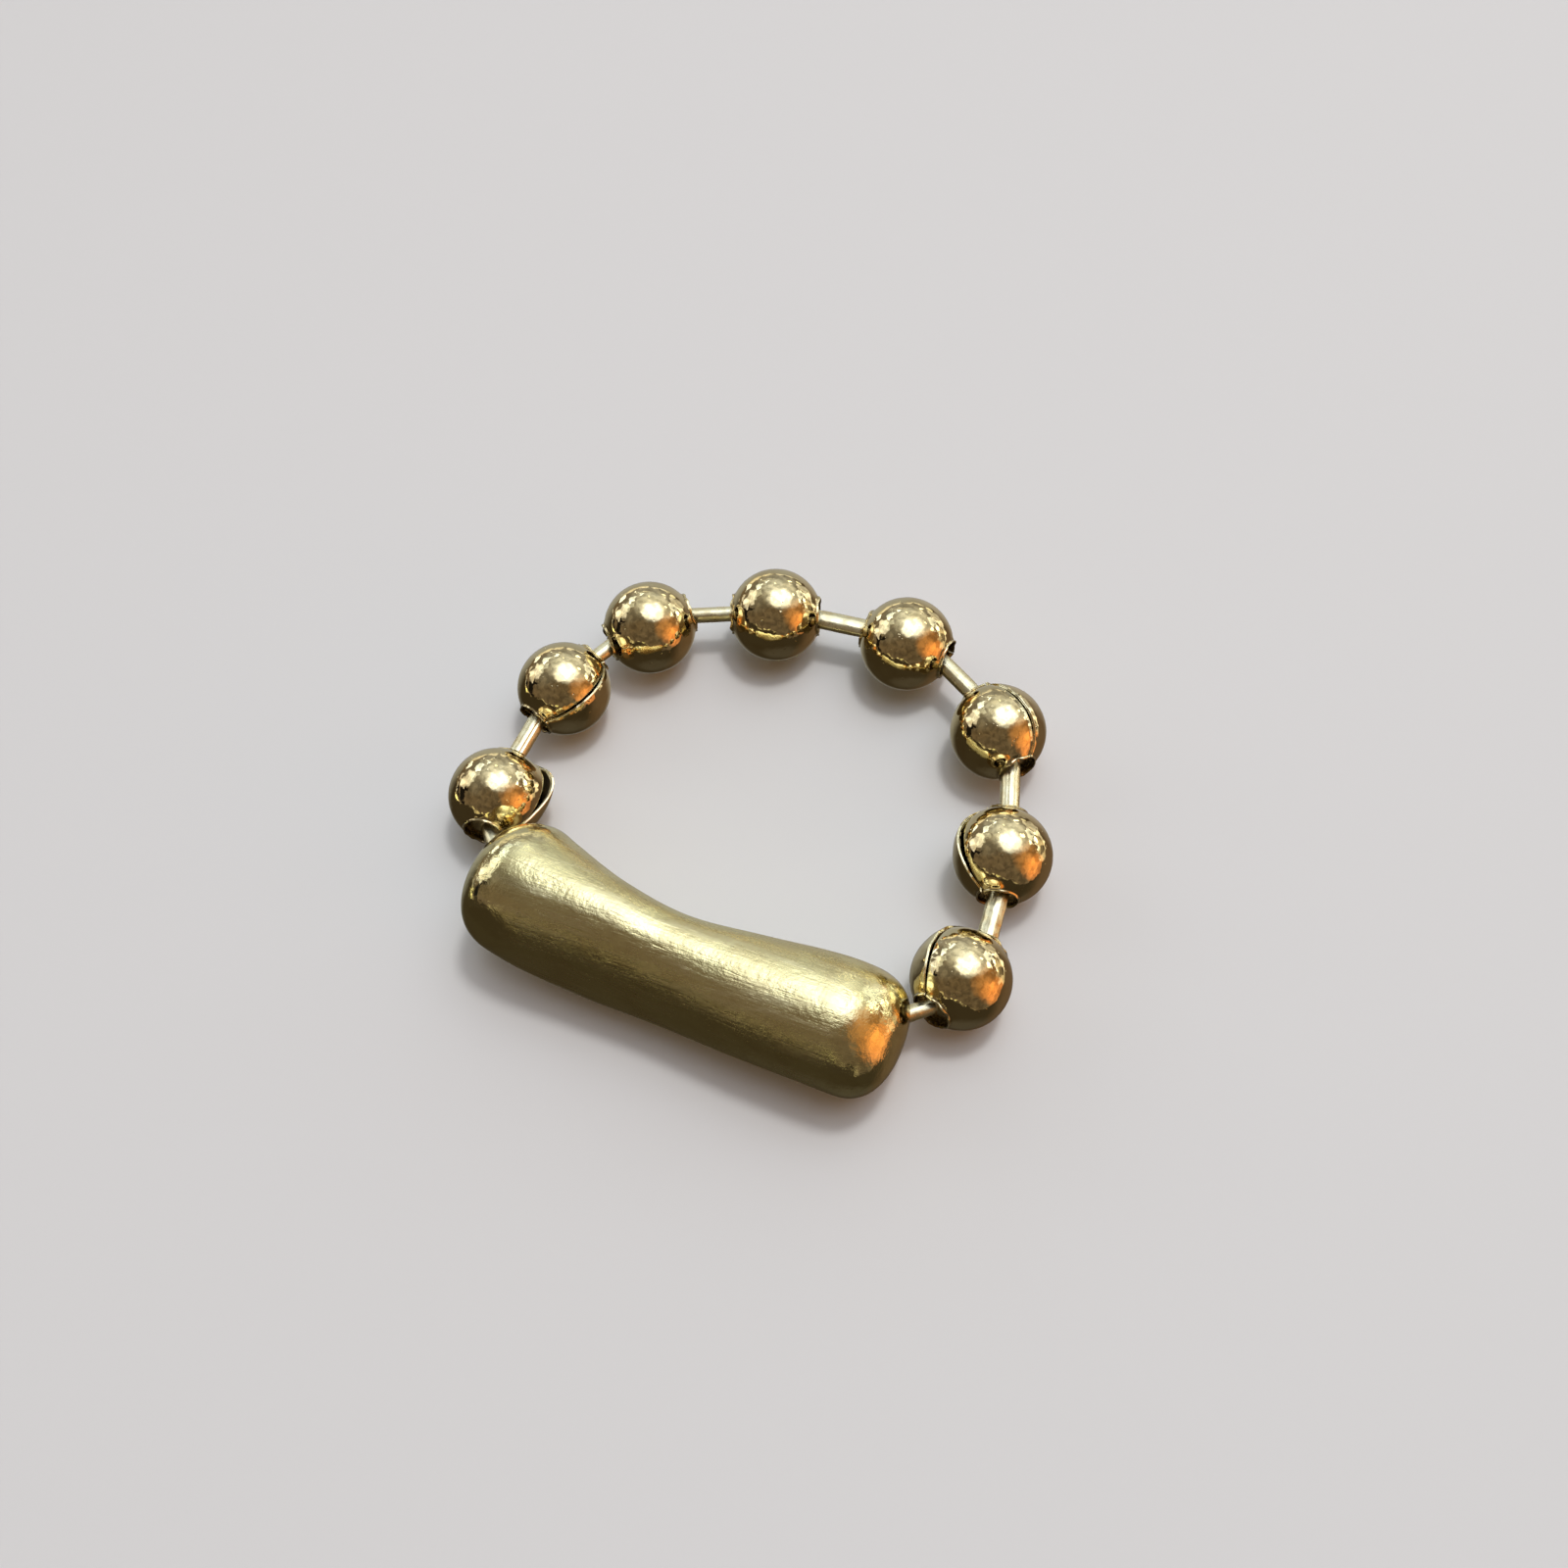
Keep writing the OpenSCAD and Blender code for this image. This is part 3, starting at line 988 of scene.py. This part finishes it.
# How far the edges waver, and how far the sharp patches are drawn towards the centres of the cells,
# which gives them angular edges
WOBBLE = 0.16
WOBBLE_SCALE = 4.0
ANGULAR = 0.4
CLOUD_SCALE = 5.0
# A small soft box almost overhead, for the shadows
KEY_AZIMUTH = 72
KEY_ELEVATION = 72
KEY_DISTANCE = 400
KEY_SIZE = 60
KEY_WATTS = 0.42
KEY_COLOUR = (1.0, 0.97, 0.92)


def direction_of(azimuth, elevation):
    azimuth, elevation = math.radians(azimuth), math.radians(elevation)
    return Vector((math.cos(azimuth) * math.cos(elevation),
                   math.sin(azimuth) * math.cos(elevation),
                   math.sin(elevation)))


def vector_step(tree, operation, a, b):
    made = tree.nodes.new("ShaderNodeVectorMath")
    made.operation = operation
    plug(tree, a, made.inputs[0])
    plug(tree, b, made.inputs["Scale" if operation == "SCALE" else 1])
    return made.outputs["Value" if operation == "DOT_PRODUCT" else "Vector"]


def added(tree, colour, more, share):
    """The colour with a share of another one on top."""
    return vector_step(tree, "ADD", colour, vector_step(tree, "SCALE", more, share))


def patch_share(tree, direction, row):
    """1 inside a patch of light, falling smoothly to 0 at its outer angle."""
    towards = vector_step(tree, "DOT_PRODUCT", direction, direction_of(row[AZIMUTH], row[ELEVATION]))
    span = (math.cos(math.radians(row[GONE])), math.cos(math.radians(row[FULL])))
    return ranged(tree, towards, span, (0, 1))


def height_over_horizon(tree, direction, level_at):
    """Height of a direction over the horizon, which dips and rises round the ring."""
    height = tree.nodes.new("ShaderNodeSeparateXYZ")
    tree.links.new(level_at, height.inputs[0])
    level = combined(tree, "SUBTRACT", height.outputs["Z"], HORIZON)
    for row in DIPS:
        drop = product(tree, patch_share(tree, direction, row), row[DROP])
        level = combined(tree, "SUBTRACT", level, drop)
    return level


def with_small_lights(tree, above, direction, wobbled, cells, level):
    """The room's light with the scattered dots, the line along the horizon and cloudiness."""
    pick = tree.nodes.new("ShaderNodeSeparateColor")
    tree.links.new(cells["Color"], pick.inputs[0])
    dots = product(tree, ranged(tree, cells["Distance"], DOT_EDGE, (1, 0)),
                   ranged(tree, pick.outputs[0], DOT_CHOSEN, (0, 1)))
    low = ranged(tree, level, FRONT_ENDS, (1, 0))
    for row in SCATTER:
        share = product(tree, dots, patch_share(tree, direction, row))
        if row[LAYER] == "front":
            share = product(tree, share, low)
        above = added(tree, above, row[COLOUR], share)
    clouds = noise_node(tree, wobbled, CLOUD_SCALE, detail=3, roughness=0.6)
    line = product(tree, ranged(tree, level, LINE_BEGINS, (0, 1)), ranged(tree, level, LINE_ENDS, (1, 0)))
    line = product(tree, line, patch_share(tree, direction, LINE))
    line = product(tree, line, ranged(tree, clouds, (0.4, 0.6), (0.1, 1)))
    above = added(tree, above, LINE[COLOUR], line)
    return vector_step(tree, "SCALE", above, ranged(tree, clouds, (0.33, 0.67), (0.68, 1.3)))


def light_all_round(tree, direction, detailed):
    """The colour of the light that comes from a direction, with small detail or without it."""
    ways = dict.fromkeys(("soft", "solid", "sharp", "ground"), direction)
    level_at = direction
    if detailed:
        waver = noise_node(tree, direction, WOBBLE_SCALE, detail=1.0, output="Color")
        waver = vector_step(tree, "SUBTRACT", waver, (0.5, 0.5, 0.5))
        wobbled = added(tree, direction, waver, WOBBLE)
        cells = cells_node(tree, wobbled, CELLS)
        angular = vector_step(tree, "SCALE", wobbled, 1 - ANGULAR)
        angular = added(tree, angular, cells["Position"], ANGULAR)
        ways.update(solid=wobbled, sharp=angular)
        level_at = angular
    level = height_over_horizon(tree, direction, level_at)
    room = ranged(tree, level, (-HORIZON_SOFT, HORIZON_SOFT), (0, 1))
    above, below = WALL, GROUND
    for row in PATCHES:
        share = patch_share(tree, ways[row[LAYER]], row)
        if row[LAYER] == "ground":
            below = added(tree, below, row[COLOUR], share)
        else:
            above = added(tree, above, row[COLOUR], share)
    if detailed:
        above = with_small_lights(tree, above, direction, wobbled, cells, level)
    under = vector_step(tree, "SCALE", below, combined(tree, "SUBTRACT", 1.0, room))
    light = added(tree, under, above, room)
    return vector_step(tree, "MAXIMUM", light, DARKEST)


def background(tree, colour):
    made = tree.nodes.new("ShaderNodeBackground")
    plug(tree, colour, made.inputs["Color"])
    return made.outputs[0]


def make_world():
    """Detailed light for the metal to mirror, plain light for the floor, and a backdrop to see."""
    world = bpy.data.worlds.new("studio")
    bpy.context.scene.world = world
    world.use_nodes = True
    tree = world.node_tree
    tree.nodes.remove(tree.nodes["Background"])
    direction = tree.nodes.new("ShaderNodeTexCoord").outputs["Generated"]
    rays = tree.nodes.new("ShaderNodeLightPath").outputs
    shown = background(tree, light_all_round(tree, direction, False))
    mirrored = light_all_round(tree, direction, True)
    for kind, colour in (("Is Glossy Ray", mirrored), ("Is Camera Ray", BACKDROP)):
        either = tree.nodes.new("ShaderNodeMixShader")
        tree.links.new(rays[kind], either.inputs[0])
        tree.links.new(shown, either.inputs[1])
        tree.links.new(background(tree, colour), either.inputs[2])
        shown = either.outputs[0]
    tree.links.new(shown, tree.nodes["World Output"].inputs["Surface"])


def make_key_light():
    data = bpy.data.lights.new("key", "AREA")
    data.shape = "DISK"
    data.size = KEY_SIZE * MM
    data.energy = KEY_WATTS
    data.color = KEY_COLOUR
    key = bpy.data.objects.new("key", data)
    back = direction_of(KEY_AZIMUTH, KEY_ELEVATION)
    key.location = back * (KEY_DISTANCE * MM)
    key.rotation_mode = "QUATERNION"
    key.rotation_quaternion = (-back).to_track_quat("-Z", "Y")
    key.visible_camera = False
    key.visible_glossy = False
    bpy.context.scene.collection.objects.link(key)


def make_floor():
    corners = [(x * FLOOR_HALF, y * FLOOR_HALF, 0) for x, y in ((-1, -1), (1, -1), (1, 1), (-1, 1))]
    material = bpy.data.materials.new("floor")
    material.use_nodes = True
    shader = material.node_tree.nodes["Principled BSDF"]
    shader.inputs["Base Color"].default_value = FLOOR_COLOUR
    shader.inputs["Roughness"].default_value = FLOOR_ROUGHNESS
    shader.inputs["Specular IOR Level"].default_value = FLOOR_SPECULAR
    floor = make_object("floor", corners, [(0, 1, 2, 3)], material)
    floor.visible_glossy = False


bpy.context.scene.view_settings.view_transform = "Standard"
make_camera()
make_balls()
make_pins()
make_bar()
make_world()
make_key_light()
make_floor()
